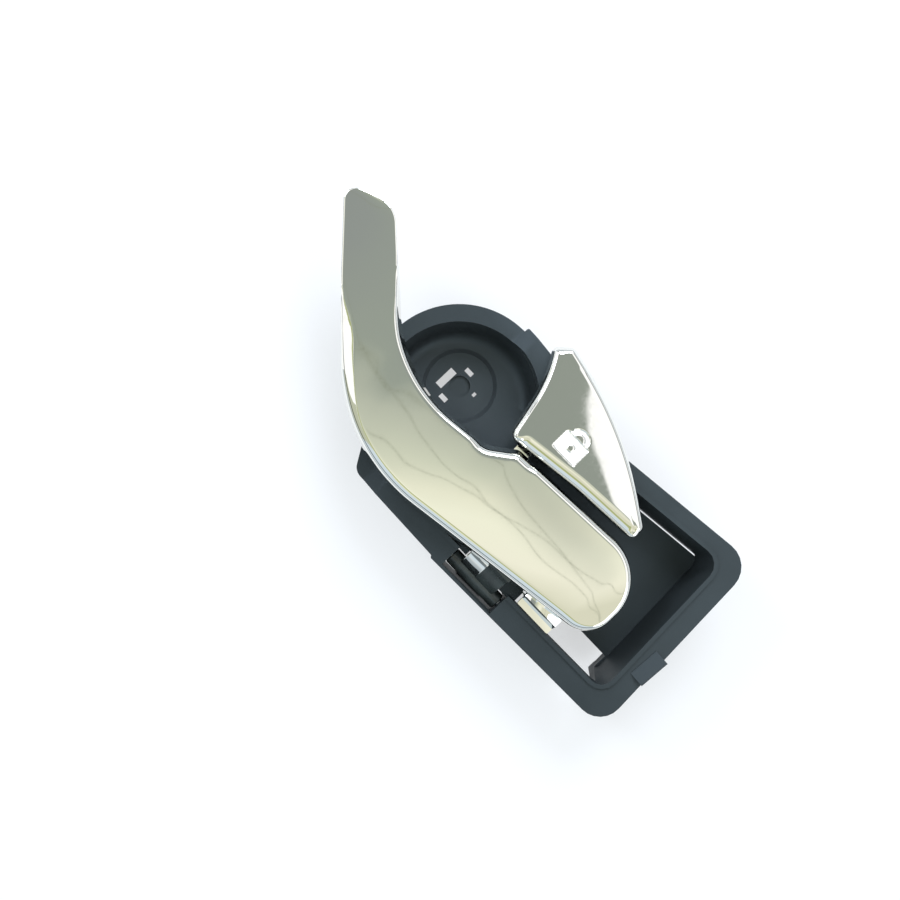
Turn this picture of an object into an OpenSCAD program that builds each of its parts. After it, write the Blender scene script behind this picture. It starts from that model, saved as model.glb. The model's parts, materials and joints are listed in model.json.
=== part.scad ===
// Interior door release handle: a plastic bezel with a round finger cup, a chromed pull lever and a
// chromed lock lever on one steel pin, lying on its back. X runs along the bezel, Y across it towards
// the lock lever, Z towards the hand. The origin is the screw boss's axis at its back face.

/* [Bezel] */
// Height of the bezel's front face above the boss's back face
front_z = 28; // [27:0.5:31]
// Thickness of the bezel's front plate
plate_t = 2.2; // [1.8:0.1:2.8]
// How much lower the plate lies round the finger cup
cup_drop = 2.7; // [1.5:0.1:3.5]
// Height of the floor's upper face
floor_z = 10; // [9:0.5:11]
// Thickness of the floor
floor_t = 2; // [1.6:0.1:2.4]
// Thickness of the side walls
wall_t = 1.8; // [1.4:0.1:2.2]
// Draft of the side walls over their full depth
draft = 1.8; // [1:0.1:2.4]
// Radius of the plate's round end
end_r = 27.3; // [26.5:0.1:28.5]
// Radius of the finger cup's mouth
cup_r = 24; // [23:0.1:24.5]
// Radius of the fillet at the foot of the finger cup
cup_fillet = 4; // [2:0.5:6]
// Width of the plate beside the well
rim_w = 5.8; // [5:0.1:7]
// Height of the lip round the well's mouth
lip_h = 0.7; // [0.4:0.1:1]
// Width of that lip
lip_w = 1.3; // [0.8:0.1:2]
// Depth of the walls below the floor
back_rib_h = 3.5; // [2:0.5:5]
// Thickness of the ribs below the floor
rib_t = 1.6; // [1.2:0.1:2.2]
// Thickness of the skirt along the hinge side
skirt_t = 1.1; // [0.9:0.1:1.2]
// Width of the slit at the foot of the long wall
slit_w = 0.7; // [0.5:0.1:1]
// Width of the snap hook on the short edge
hook_w = 10; // [8:0.5:12]

/* [Screw boss] */
// Radius of the round recess in the cup's floor
recess_r = 11.6; // [9:0.1:12]
// Depth of that recess
recess_depth = 1.4; // [0.8:0.1:1.8]
// Width of the recess's slanted wall
recess_bevel = 1.2; // [0.4:0.1:1.6]
// Radius of the boss and of the pocket above it
boss_r = 3.3; // [3:0.1:3.4]
// Radius of the boss's core hole for a self-tapping screw
screw_r = 1.8; // [1.5:0.05:2]
// Depth of the core hole from the back
screw_depth = 6; // [4:0.5:6]
// Radius of the locating peg at the far end
peg_r = 3; // [2.5:0.1:4]

/* [Pivot] */
// Diameter of the steel pivot pin
pin_d = 2.8; // [2.5:0.1:3]
// Radial running clearance on the pin
run_gap = 0.05; // [0.03:0.01:0.08]
// Clearance between neighbours along the pin
side_gap = 0.4; // [0.3:0.05:0.6]
// Distance of the pin's axis from the screw boss
pivot_y = -36.9; // [-37:0.1:-36.7]
// Outer diameter of the pull lever's hinge barrel
barrel_d = 5.2; // [5:0.1:5.4]
// Length of the hinge barrel
barrel_len = 19.4; // [18:0.2:20]
// Wall of the nylon bushes
bush_t = 0.4; // [0.3:0.05:0.5]
// Length of each nylon bush
bush_len = 6; // [4:0.5:8]
// Width of the bezel's pin lugs
lug_w = 4.2; // [3.5:0.1:5]
// Diameter of the pin's head
pin_head_d = 4.6; // [4.2:0.1:5]
// Length of the lock lever's hub
lock_hub_len = 9; // [8:0.5:10]
// Outer diameter of the lock lever's hub
lock_hub_d = 5.2; // [5:0.1:5.4]

/* [Pull lever] */
// Height of the lever's face above the bezel's front
face_rise = 9.6; // [9:0.1:11]
// Extra height of the lever's free end
tail_rise = 1.5; // [0.5:0.5:5]
// Share of the edge's rounding that is left at the free end
tail_edge = 0.35; // [0.25:0.05:0.8]
// Depth of the lever's skirt
skirt_h = 8; // [7:0.1:8.2]
// Wall of both levers
lever_wall = 1.9; // [1.6:0.1:2.1]
// How much the lever's face is crowned
crown = 0.9; // [0.4:0.1:1.4]
// Thickness of the lever's rod arm
arm_t = 3; // [2.5:0.1:3.6]
// Radius of the hole in the rod arms
eye_r = 1.6; // [1.4:0.1:2]
// Radius of the rod arms' round ends
eye_outer_r = 3.2; // [2.8:0.1:3.6]
// Depth of the rod eyes below the pin's axis
eye_drop = 13; // [11:0.5:13.5]

/* [Lock lever] */
// Height of the lock lever's face above the bezel's front, at its inner edge
lock_rise = 8.6; // [8:0.1:9.5]
// How much the face drops towards its outer edge
lock_fall = 3.4; // [2:0.1:4]
// Clearance between the lock lever's edge and the bezel's front
lock_gap = 1.2; // [0.9:0.1:1.8]
// Depth of the plain padlock mark's engraving
mark_depth = 0.4; // [0.2:0.1:0.6]

/* [Springs and small parts] */
// Wire diameter of the return spring
wire_d = 1; // [0.8:0.1:1.2]
// Mean radius of the return spring's coil
coil_r = 2.2; // [2.1:0.05:2.3]
// Number of turns of the return spring
coil_turns = 4; // [3:1:4]
// Thickness of the detent spring's steel strip
strip_t = 0.4; // [0.3:0.05:0.6]
// Radius of the rubber bumpers
bumper_r = 3; // [2.5:0.1:3.5]
// Clearance above the rubber bumpers
bumper_gap = 0.3; // [0.2:0.05:0.5]
// Width of the rod clips
clip_w = 6; // [5.5:0.1:6.6]
// Diameter of the rods that the clips hold
rod_d = 3; // [2.5:0.1:3.4]

/* [Hidden] */
$fn = 48;
eps = 0.01;
overlap = 0.2;

plastic_black = "#30363a";
chrome_plate = "#d6d8cf";
zinc_steel = "#aeb2b5";
nylon_white = "#e4e2d8";
rubber_black = "#1d1f20";

// The plate: a round end, the hinge side's edge with its step, and all corners as [x, y, radius]
end_c = [2.6, -2.8];
hinge_line = [[-2.6, -40.4], [30.8, -41.1], [31.4, -41.8], [102.1, -40.1]];
plate_corners = [[2.2, 26, 0.6], [14, 25, 6], [33, 17.9, 8], [98.3, 25.8, 8], [each hinge_line[3], 7.5],
                 [each hinge_line[2], 0.3], [each hinge_line[1], 0.3], [each hinge_line[0], 4],
                 [-13.5, -23, 0], [2.2, 0, 0]];
cup_c = [3.6, -3.8];
well_corners = [[12, -33.6, 4], [94.2, -32.2, 4], [91.3, 25 - rim_w, 5], [12, 15.3 - rim_w, 0.5]];
ramp_x = [1.5, 6.5];
plate_under = front_z - plate_t;
skirt_low_z = floor_z - floor_t - back_rib_h;
pocket_depth = 1.2;
peg = [84, 5];
foot_x = [41, 51];
cross_rib_x = [32, 53];
hook_at = [97, -12.6];
hook_turn = -3;

// Along the pin: each part starts where the one before it ends
pin_r = pin_d / 2;
hole_r = pin_r + run_gap;
fixed_gap = 0.02;
lock_hub_x = 21.4;
lug_a_x = lock_hub_x - side_gap - lug_w;
lug_b_x = lock_hub_x + lock_hub_len + side_gap;
barrel_x = lug_b_x + lug_w + side_gap;
lug_c_x = barrel_x + barrel_len + side_gap;
spring_x = lug_c_x + lug_w + side_gap;
coil_pitch = wire_d + 0.1;
coil_len = (coil_turns + 1) * coil_pitch;
lug_d_x = spring_x + coil_len + side_gap;
pin_head_t = 1.5;
washer_t = 0.8;
washer_r = pin_r + 1.2;
pin_from = lug_a_x - pin_head_t;
pin_to = lug_d_x + lug_w + washer_t + 1.6;
bush_r = hole_r + bush_t;
hub_max_r = max(barrel_d, lock_hub_d) / 2;
pivot_z = plate_under - hub_max_r - 1;
lug_y1 = pivot_y + 2.7;
lug_below = 3.4;
channel_x = [pin_from - 1.5, 91.5];
channel_y = [-39.6, -25];
slot_x = [barrel_x - side_gap, barrel_x + barrel_len + side_gap];
slot_y1 = -31.8;

face_z = front_z + face_rise;
// Edges of the pull lever's plan from its free end, as [x, y, radius]; end points only give a direction
pull_left = [[-56.5, 18.4, 0], [-63.8, 15.6, 4], [-11, -39.2, 54], [80.3, -25.4, 10], [80.3, -15.2, 0]];
pull_right = [[-56.5, 18.4, 0], [-49.2, 21.1, 8.5], [-12.3, -11.1, 42], [18.6, -7.1, 6], [26.3, -1.1, 3.2],
              [80.3, 2.4, 15.5], [80.3, -15.2, 0]];
pull_bend = [0.42, 0.438, 0.324];
// Edges of the lock lever's plan from its upper point, in the same way
lock_left = [[12.6, 29.5, 0], [10.5, 27.6, 1.8], [16.6, 18.3, 42], [20.8, -0.9, 2.8], [46, 2.6, 60],
             [67.5, 4.1, 2.2], [67.7, 6.6, 0]];
lock_right = [[12.6, 29.5, 0], [14.8, 31.4, 1.8], [43, 25.6, 112], [67.9, 9.2, 2.4], [67.7, 6.6, 0]];
lock_bend = [0.35, 0.395, 0.26];
lock_fall_y = 28;
mark_at = [36, 13];
mark_w = 8.4;

arm_x = lug_c_x + lug_w + 1.6;
arm_y = -28.6;
eye_z = pivot_z - eye_drop;
notch_x = [arm_x - 5, arm_x + arm_t + clip_w + 5];
notch_y1 = -15.4;
tab_x = [58.2, 70.8];
web_in = 3;
gusset_w = 2.6;
rib_drop = 9;
lock_arm_x = lock_hub_x + 1;
bridge_x = lock_hub_x + lock_hub_len - 5;
bridge_w = 5;
bridge_z = [13.4, 17.6];
lock_eye_y = -33.6;
post_y = [2.6, 7.4];
lock_face_z = front_z + lock_rise;
lock_low_z = front_z + lock_gap;
pull_stop = [72, -9];
pull_roof_z = face_z - lever_wall - 0.3;
lock_stop = [46, 9.8];
lock_roof_z = lock_face_z - lock_fall * lock_stop[1] / lock_fall_y - lever_wall - 0.3;
bumper_h = 3;
spigot = [1.2, 2.5];
leg_z = pivot_z + coil_r;
spring_post_r = 1;
spring_post_z = leg_z - wire_d / 2 - spring_post_r - 0.05;
rod_z = 4.6;
rod_sleeve = 7;
stud_r = 0.8;
stud_z = floor_z + 1.6;
clip_x = [arm_x + arm_t + 0.2, lock_arm_x + arm_t + 0.2];
strip_x = bridge_x + 1;
strip_w = 3;

function flat(p) = [p[0], p[1]];
function unit(v) = v / norm(v);
function clamp01(v) = max(0, min(1, v));

// Arc that rounds corner b between its neighbours a and c
function corner_arc(a, b, c, r, n) =
    let (d1 = unit(flat(a) - flat(b)), d2 = unit(flat(c) - flat(b)), half = acos(d1 * d2) / 2,
         reach = r / tan(half), centre = flat(b) + unit(d1 + d2) * r / sin(half),
         from = flat(b) + d1 * reach - centre, to = flat(b) + d2 * reach - centre,
         start = atan2(from[1], from[0]), turn = atan2(cross(from, to), from * to))
    [for (i = [0:n]) centre + r * [cos(start + turn * i / n), sin(start + turn * i / n)]];

// Closed outline with rounded corners
function rounded(c, n = 6) =
    let (k = len(c))
    [for (i = [0:k - 1]) each c[i][2] <= 0 ? [flat(c[i])] :
        corner_arc(c[(i + k - 1) % k], c[i], c[(i + 1) % k], c[i][2], n)];

// Corners of a convex outline moved outwards by d
function grown(c, d) =
    let (k = len(c))
    [for (i = [0:k - 1])
        let (b = flat(c[i]), d1 = unit(flat(c[(i + k - 1) % k]) - b), d2 = unit(flat(c[(i + 1) % k]) - b),
             p = b - unit(d1 + d2) * d / sin(acos(d1 * d2) / 2))
        [p[0], p[1], max(0.3, c[i][2] + d)]];

// Open path whose inner corners are rounded, and points at a share of its length
function path(c, n = 12) = [for (i = [1:len(c) - 2]) each corner_arc(c[i - 1], c[i], c[i + 1], c[i][2], n)];
function lengths(p) =
    [for (i = 0, s = 0; i < len(p); s = s + (i + 1 < len(p) ? norm(p[i + 1] - p[i]) : 0), i = i + 1) s];
function at_share(p, s, share) =
    [lookup(share * s[len(s) - 1], [for (i = [0:len(p) - 1]) [s[i], p[i][0]]]),
     lookup(share * s[len(s) - 1], [for (i = [0:len(p) - 1]) [s[i], p[i][1]]])];
function stations(c, bend_at, bend_share, n) =
    let (p = path(c), s = lengths(p))
    [for (i = [0:n]) at_share(p, s, lookup(i / n, [[0, 0], [bend_at, bend_share], [1, 1]]))];

// The hinge side's edge at x, and the inner face of the skirt below it
function hinge_edge_y(x) = lookup(x, hinge_line);
function skirt_y(x) = hinge_edge_y(x) + skirt_t;

// Ring of points moved inwards by d(i), no further than a share of the lever's width there
function inset(ring, d) =
    let (k = len(ring))
    [for (i = [0:k - 1])
        let (t = unit(ring[(i + 1) % k] - ring[(i + k - 1) % k]), w = norm(ring[i] - ring[k - 1 - i]))
        ring[i] + min(d(i), 0.36 * w) * [-t[1], t[0]]];
function raised(ring, height) = [for (i = [0:len(ring) - 1]) [ring[i][0], ring[i][1], height(i, ring[i])]];

// Triangles of the band between two rings of k points that start at points a and b
function band(a, b, k) =
    [for (i = [0:k - 1]) let (j = (i + 1) % k) each [[a + i, b + j, b + i], [a + i, a + j, b + j]]];
function turned(faces) = [for (f = faces) [f[2], f[1], f[0]]];

// A hollow cap open below: rounded edges, a crowned face and an even wall, between two edge paths.
// top(t, y), low(t) and edge(t) give its heights and the size of its rounded edge at share t of its length.
module hollow_cap(left, right, top, low, edge, wall, crowned) {
    n = len(left) - 1;
    k = 2 * (n + 1);
    ring = concat(left, [for (i = [n:-1:0]) right[i]]);
    share = function(i) (i <= n ? i : k - 1 - i) / n;
    z_top = function(drop) function(i, p) top(share(i), p[1]) - drop;
    z_low = function(rise) function(i, p) low(share(i)) + rise;
    even = function(d) inset(ring, function(i) d);
    round_edge = function(d, drop)
        raised(inset(ring, function(i) d * edge(share(i))),
               function(i, p) top(share(i), p[1]) - drop * edge(share(i)));
    rings = [raised(even(0.4), z_low(0)), raised(ring, z_low(1.4)), round_edge(1.1, 2.1),
             round_edge(1.65, 0.8), round_edge(2.6, 0.1),
             raised(even(wall), z_low(0)), raised(even(wall + 1), z_top(wall + 0.3))];
    lip = rings[4];
    mids = [for (i = [1:n - 1], f = [0.25, 0.5, 0.75])
        let (a = lip[i], b = lip[k - 1 - i], p = a + (b - a) * f, w = norm(b - a))
        [p[0], p[1], p[2] + crowned * 4 * f * (1 - f) * min(1, w / 20)]];
    points = concat([for (r = rings) each r], mids);
    l = function(i) 4 * k + i;
    r = function(i) 5 * k - 1 - i;
    m = function(i, j) 7 * k + (i - 1) * 3 + j;
    row = function(i) [l(i), m(i, 0), m(i, 1), m(i, 2), r(i)];
    face = concat(
        [for (i = [1:n - 2], j = [0:3])
            let (a = row(i), b = row(i + 1)) each [[a[j], b[j], b[j + 1]], [a[j], b[j + 1], a[j + 1]]]],
        [[l(0), l(1), m(1, 0)], [l(0), m(1, 0), m(1, 1)], [l(0), m(1, 1), r(0)], [r(0), m(1, 1), m(1, 2)],
         [r(0), m(1, 2), r(1)]],
        [[l(n - 1), l(n), m(n - 1, 0)], [l(n), m(n - 1, 1), m(n - 1, 0)], [l(n), r(n), m(n - 1, 1)],
         [r(n), m(n - 1, 2), m(n - 1, 1)], [r(n), r(n - 1), m(n - 1, 2)]]);
    roof = [for (i = [0:n - 1])
        let (a = 6 * k + i, b = 7 * k - 1 - i) each [[a, b - 1, a + 1], [a, b, b - 1]]];
    faces = concat(band(0, k, k), band(k, 2 * k, k), band(2 * k, 3 * k, k), band(3 * k, 4 * k, k), face,
                   turned(band(0, 5 * k, k)), turned(band(5 * k, 6 * k, k)), roof);
    polyhedron(points, turned(faces));
}

module along_x(x, len) {
    translate([x, 0, 0]) rotate([90, 0, 90]) linear_extrude(len) children();
}

module pin_hole(x, len, r) {
    translate([x, pivot_y, pivot_z]) rotate([0, 90, 0]) cylinder(r = r, h = len);
}

module plate_outline() {
    translate(end_c) circle(r = end_r);
    polygon(rounded(plate_corners));
}

// Side view of the plate, which steps down round the finger cup
module plate_profile(lower, upper) {
    polygon([[-40, lower - cup_drop], [ramp_x[0], lower - cup_drop], [ramp_x[1], lower], [120, lower],
             [120, upper], [ramp_x[1], upper], [ramp_x[0], upper - cup_drop], [-40, upper - cup_drop]]);
}

module plate() {
    intersection() {
        linear_extrude(60) plate_outline();
        translate([0, 60, 0]) rotate([90, 0, 0]) linear_extrude(120) plate_profile(plate_under, front_z);
    }
}

// Drafted prism over a convex outline, from z0 to z1, whose mouth at the front has the outline's size
module drafted(corners, grow, z0, z1) {
    slope = draft / (front_z - floor_z);
    hull() {
        for (z = [z0, z1 - eps]) {
            translate([0, 0, z]) linear_extrude(eps)
                polygon(rounded(grown(corners, grow - slope * (front_z - z)), 4));
        }
    }
}

module cup_space(grow, z0, z1, fillet) {
    slope = draft / (front_z - floor_z);
    r0 = cup_r + grow - slope * (front_z - z0);
    r1 = cup_r + grow - slope * (front_z - z1);
    arc = [for (i = [0:6]) [r0 - fillet + fillet * sin(15 * i), z0 + fillet - fillet * cos(15 * i)]];
    translate(cup_c) rotate_extrude($fn = 96)
        polygon(concat([[0, z0]], fillet > 0 ? arc : [[r0, z0]], [[r1, z1], [0, z1]]));
}

// Wall that hangs below the plate along its hinge edge, from x0 to x1
module hinge_skirt(x0, x1, z0, z1, thick) {
    steps = [for (p = hinge_line) if (p[0] > x0 && p[0] < x1) p[0]];
    inner = [for (x = concat([x0], steps, [x1])) [x, hinge_edge_y(x) + thick]];
    translate([0, 0, z0]) linear_extrude(z1 - z0) intersection() {
        polygon(rounded(plate_corners));
        polygon(concat(inner, [[x1, -46], [x0, -46]]));
    }
}

module pin_lug(x) {
    y0 = min(skirt_y(x), skirt_y(x + lug_w)) - overlap;
    translate([x, y0, pivot_z - lug_below])
        cube([lug_w, lug_y1 - y0, plate_under - pivot_z + lug_below + overlap]);
}

// Walls from the lugs beside the slot to the floor, clear of the barrel and its web
module slot_gussets() {
    half = barrel_len / 2;
    inner = half - web_in + side_gap;
    by_lug = half + side_gap + 0.1;
    outer = half + side_gap + gusset_w;
    y = [lug_y1 - 0.5, lug_y1 + side_gap, channel_y[1] + 2 * overlap];
    translate([barrel_x + half, 0, floor_z - floor_t]) linear_extrude(plate_under - floor_z + floor_t - eps)
        for (s = [-1, 1])
            polygon([[s * outer, y[0]], [s * by_lug, y[0]], [s * by_lug, y[1]], [s * inner, y[1]],
                     [s * inner, y[2]], [s * outer, y[2]]]);
}

// Rib on the last lug that the return spring's fixed leg bears on
module spring_rib() {
    y0 = pivot_y + coil_r + wire_d / 2 + 0.1;
    translate([lug_d_x - 1.9, y0, pivot_z - rib_drop]) cube([1.9 + lug_w, 1.4, rib_drop]);
    translate([lug_d_x, lug_y1 - 0.5, pivot_z - rib_drop]) cube([lug_w, y0 - lug_y1 + 1, rib_drop]);
}

// Small through slots round the screw boss, as [x, y, width, height]
module recess_slots() {
    for (s = [[-6, -4.6, 2.5, 6.8], [-2.5, 4.4, 2.8, 1.6], [-2.3, -6.9, 2.8, 1.6], [4.5, 0.8, 1, 1.4]]) {
        translate([s[0], s[1], 0]) cube([s[2], s[3], floor_z]);
    }
}

// Ribs below the floor: from the recess outwards, and two across the well
module floor_ribs() {
    translate([0, 0, skirt_low_z]) linear_extrude(floor_z - skirt_low_z) {
        for (a = [60, 130, 220, atan2(peg[1], peg[0])]) {
            rotate(a) translate([recess_r, -rib_t / 2]) square([120, rib_t]);
        }
        for (x = cross_rib_x) translate([x, -60]) square([rib_t, 120]);
    }
}

// Slit at the foot of the long wall, which hooks round the well's far corner
module wall_slit() {
    for (foot = [[[65.5, 14.35], [89.4, 17.25]], [[88.9, 17.3], [91.2, 16.3]]]) {
        turn = atan2(foot[1][1] - foot[0][1], foot[1][0] - foot[0][0]);
        translate([foot[0][0], foot[0][1], -1]) rotate(turn) translate([0, -slit_w, 0])
            cube([norm(foot[1] - foot[0]), slit_w, floor_z + 1.5]);
    }
}

// Snap hook across the short edge: a tongue that rises outwards
module snap_hook() {
    nose = [[0, 0], [4.6, 0], [4.6, 2], [4.1, 2.2], [0, 0.4]];
    translate([hook_at[0], hook_at[1], front_z - overlap]) rotate([90, 0, hook_turn])
        linear_extrude(hook_w) polygon(nose);
}

module stop_post(at, top) {
    difference() {
        translate([at[0], at[1], floor_z - floor_t]) cylinder(r = bumper_r, h = top - floor_z + floor_t);
        translate([at[0], at[1], top - spigot[1]]) cylinder(r = spigot[0], h = spigot[1] + 1);
    }
}

// Stud on the hinge skirt that holds the detent spring
module strip_stud() {
    x = strip_x + strip_w / 2;
    translate([x, skirt_y(x) - overlap, stud_z]) rotate([-90, 0, 0])
        cylinder(r = stud_r, h = strip_t + overlap + 0.6);
}

module bezel() {
    floor_under = floor_z - floor_t;
    color(plastic_black) difference() {
        union() {
            difference() {
                union() {
                    plate();
                    cup_space(wall_t, skirt_low_z, front_z - cup_drop - 0.5, 0);
                    drafted(well_corners, wall_t, skirt_low_z, plate_under + 0.5);
                    drafted(well_corners, lip_w, plate_under, front_z + lip_h);
                }
                cup_space(0, floor_z, front_z + 5, cup_fillet);
                drafted(well_corners, 0, floor_z, front_z + 5);
                difference() {
                    union() {
                        cup_space(0, skirt_low_z - 1, floor_under, 0);
                        drafted(well_corners, 0, skirt_low_z - 1, floor_under);
                    }
                    floor_ribs();
                }
                translate([channel_x[0], channel_y[0], -1])
                    cube([channel_x[1] - channel_x[0], channel_y[1] - channel_y[0], plate_under + 1]);
                translate([notch_x[0], channel_y[1] - eps, -1])
                    cube([notch_x[1] - notch_x[0], notch_y1 - channel_y[1] + eps, floor_z + 1.5]);
                translate([slot_x[0], skirt_y(slot_x[0]), pivot_z])
                    cube([slot_x[1] - slot_x[0], slot_y1 - skirt_y(slot_x[0]), front_z]);
                wall_slit();
            }
            hinge_skirt(channel_x[0] - wall_t, channel_x[1] + wall_t, floor_under, plate_under + eps, skirt_t);
            hinge_skirt(foot_x[0], foot_x[1], 0, floor_z + 2, skirt_t + 0.9);
            for (x = [lug_a_x, lug_b_x, lug_c_x, lug_d_x]) pin_lug(x);
            snap_hook();
            slot_gussets();
            spring_rib();
            strip_stud();
            stop_post(pull_stop, pull_roof_z - bumper_gap - bumper_h);
            stop_post(lock_stop, lock_roof_z - bumper_gap - bumper_h);
            translate([0, 0, floor_under - recess_depth])
                cylinder(r = recess_r + wall_t, h = floor_t + recess_depth - eps);
            cylinder(r = boss_r, h = floor_z - recess_depth);
            translate([peg[0], peg[1], 0]) cylinder(r = peg_r, h = floor_z - eps);
        }
        translate([0, 0, floor_z - recess_depth])
            cylinder(r1 = recess_r - recess_bevel, r2 = recess_r + eps, h = recess_depth + eps);
        translate([0, 0, floor_z - recess_depth - pocket_depth])
            cylinder(r = boss_r, h = floor_t + recess_depth);
        recess_slots();
        translate([0, 0, -1]) cylinder(r = screw_r, h = screw_depth + 1);
        pin_hole(lug_a_x - 1, pin_to - lug_a_x, pin_r + fixed_gap);
    }
}

module pull_lever() {
    n = 60;
    left = stations(pull_left, pull_bend[0], pull_bend[1], n);
    right = stations(pull_right, pull_bend[0], pull_bend[2], n);
    top = function(t, y) face_z + tail_rise * pow(clamp01(1 - t / pull_bend[0]), 2);
    low = function(t) top(t, 0) - skirt_h;
    edge = function(t) lookup(t, [[0.12, tail_edge], [0.36, 1]]);
    color(chrome_plate) difference() {
        union() {
            hollow_cap(left, right, top, low, edge, lever_wall, crown);
            pin_hole(barrel_x, barrel_len, barrel_d / 2);
            hinge_web();
            pull_arm();
        }
        pin_hole(barrel_x - 1, barrel_len + 2, bush_r + fixed_gap);
        translate([arm_x - 1, arm_y, eye_z]) rotate([0, 90, 0]) cylinder(r = eye_r, h = arm_t + 2);
    }
}

// Web between the hinge barrel and the pull lever's skirt
module hinge_web() {
    foot_z = face_z - skirt_h;
    along_x(barrel_x + web_in, barrel_len - 2 * web_in)
        polygon([[pivot_y - 0.4, pivot_z + 1], [pivot_y + 1.6, pivot_z - 1.2], [pivot_y + 5.9, foot_z - 2],
                 [pivot_y + 8.3, foot_z + 0.2], [pivot_y + 8.7, foot_z + 4.4], [pivot_y + 6.9, foot_z + 4.4],
                 [pivot_y + 6.3, foot_z + 1.4], [pivot_y + 5.5, foot_z - 0.4], [pivot_y + 1.9, foot_z - 2]]);
}

// Rod arm below the pull lever, with the tab at its root and the post under the return spring's leg
module pull_arm() {
    roof_z = face_z - lever_wall;
    foot_z = face_z - skirt_h;
    along_x(tab_x[0], tab_x[1] - tab_x[0])
        polygon([[pivot_y + 4.5, foot_z - 0.7], [pivot_y + 7.3, foot_z - 0.7], [pivot_y + 8.3, foot_z],
                 [pivot_y + 11.3, foot_z], [pivot_y + 11.3, foot_z + 2.2], [pivot_y + 7.8, foot_z + 2.2],
                 [pivot_y + 6.5, foot_z + 0.4], [pivot_y + 4.5, foot_z + 0.4]]);
    along_x(arm_x, arm_t)
        polygon([[arm_y - eye_outer_r, eye_z], [arm_y + eye_outer_r, eye_z], [arm_y + eye_outer_r + 2, pivot_z],
                 [arm_y + 8, roof_z - 3], [arm_y + 12, roof_z], [arm_y + 1, roof_z], [arm_y + 1, pivot_z + 3],
                 [arm_y - 1, pivot_z]]);
    translate([arm_x, arm_y, eye_z]) rotate([0, 90, 0]) cylinder(r = eye_outer_r, h = arm_t);
    translate([arm_x - 1.5, arm_y - 1, spring_post_z]) rotate([0, 90, 0]) cylinder(r = spring_post_r, h = 2);
    along_x(arm_x, arm_t)
        polygon([[arm_y - 1.7, spring_post_z - 1.2], [arm_y + 2, pivot_z - 3], [arm_y + 3, spring_post_z + 2],
                 [arm_y - 1.5, spring_post_z + 0.9]]);
}

module lock_lever() {
    n = 40;
    left = stations(lock_left, lock_bend[0], lock_bend[1], n);
    right = stations(lock_right, lock_bend[0], lock_bend[2], n);
    top = function(t, y) lock_face_z - lock_fall * clamp01(y / lock_fall_y);
    low = function(t) lock_low_z;
    color(chrome_plate) difference() {
        union() {
            hollow_cap(left, right, top, low, function(t) 1, lever_wall, crown / 2);
            pin_hole(lock_hub_x, lock_hub_len, lock_hub_d / 2);
            lock_arm();
        }
        pin_hole(lock_hub_x - 1, lock_hub_len + 2, bush_r + fixed_gap);
        translate([lock_arm_x - 1, lock_eye_y, eye_z]) rotate([0, 90, 0]) cylinder(r = eye_r, h = arm_t + 2);
        lock_mark();
    }
}

// Plain padlock mark engraved in the lock lever's sloping face
module lock_mark() {
    slope = atan(lock_fall / lock_fall_y);
    z = lock_face_z - lock_fall * mark_at[1] / lock_fall_y + crown / 2 - mark_depth;
    translate([mark_at[0], mark_at[1], z]) rotate([-slope, 0, 0]) linear_extrude(5) {
        difference() {
            translate([-mark_w / 2, -0.76 * mark_w]) square([mark_w, 0.76 * mark_w]);
            translate([0, -0.38 * mark_w]) circle(r = 0.13 * mark_w);
        }
        difference() {
            circle(r = 0.38 * mark_w);
            circle(r = 0.22 * mark_w);
            translate([-mark_w, -2 * mark_w]) square(2 * mark_w);
        }
    }
}

// Bridge that dips under the pull lever and rises to the lock lever's cap, and the lock's rod arm
module lock_arm() {
    roof_z = lock_face_z - lever_wall - 0.8;
    along_x(bridge_x, bridge_w)
        polygon([[pivot_y + 0.6, pivot_z - 2], [pivot_y + 4, bridge_z[0]], [post_y[0] + 2, bridge_z[0]],
                 [post_y[1], bridge_z[1] - 0.6], [post_y[1], roof_z], [post_y[0], roof_z],
                 [post_y[0], bridge_z[1]], [pivot_y + 6, bridge_z[1]], [pivot_y + 2, pivot_z + 1.4]]);
    along_x(lock_arm_x, arm_t)
        polygon([[lock_eye_y - eye_outer_r, eye_z], [lock_eye_y + eye_outer_r, eye_z],
                 [lock_eye_y + eye_outer_r, eye_z + 5], [pivot_y + 2.4, pivot_z], [pivot_y - 2.2, pivot_z]]);
    translate([lock_arm_x, lock_eye_y, eye_z]) rotate([0, 90, 0]) cylinder(r = eye_outer_r, h = arm_t);
}

module pivot_pin() {
    color(zinc_steel) {
        pin_hole(pin_from, pin_to - pin_from, pin_r);
        pin_hole(pin_from, pin_head_t - side_gap / 2, pin_head_d / 2);
    }
}

module pin_washer() {
    color(zinc_steel) difference() {
        pin_hole(lug_d_x + lug_w + 0.1, washer_t, washer_r);
        pin_hole(lug_d_x, lug_w + 4, pin_r + fixed_gap);
    }
}

module bush(x, len) {
    color(nylon_white) difference() {
        pin_hole(x, len, bush_r);
        pin_hole(x - 1, len + 2, hole_r);
    }
}
module lever_bush_front() { bush(barrel_x, bush_len); }
module lever_bush_rear() { bush(barrel_x + barrel_len - bush_len, bush_len); }
module lock_bush_front() { bush(lock_hub_x, lock_hub_len / 2 - 0.1); }
module lock_bush_rear() { bush(lock_hub_x + lock_hub_len / 2 + 0.1, lock_hub_len / 2 - 0.1); }

// A round wire swept along points, with a ring of w points at each
function wire_ring(p, dir, r, w) =
    let (side = unit(cross(dir, abs(dir[0]) > 0.8 ? [0, 0, 1] : [1, 0, 0])), up = cross(side, dir))
    [for (i = [0:w - 1]) p + r * (cos(360 * i / w) * side + sin(360 * i / w) * up)];

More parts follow.
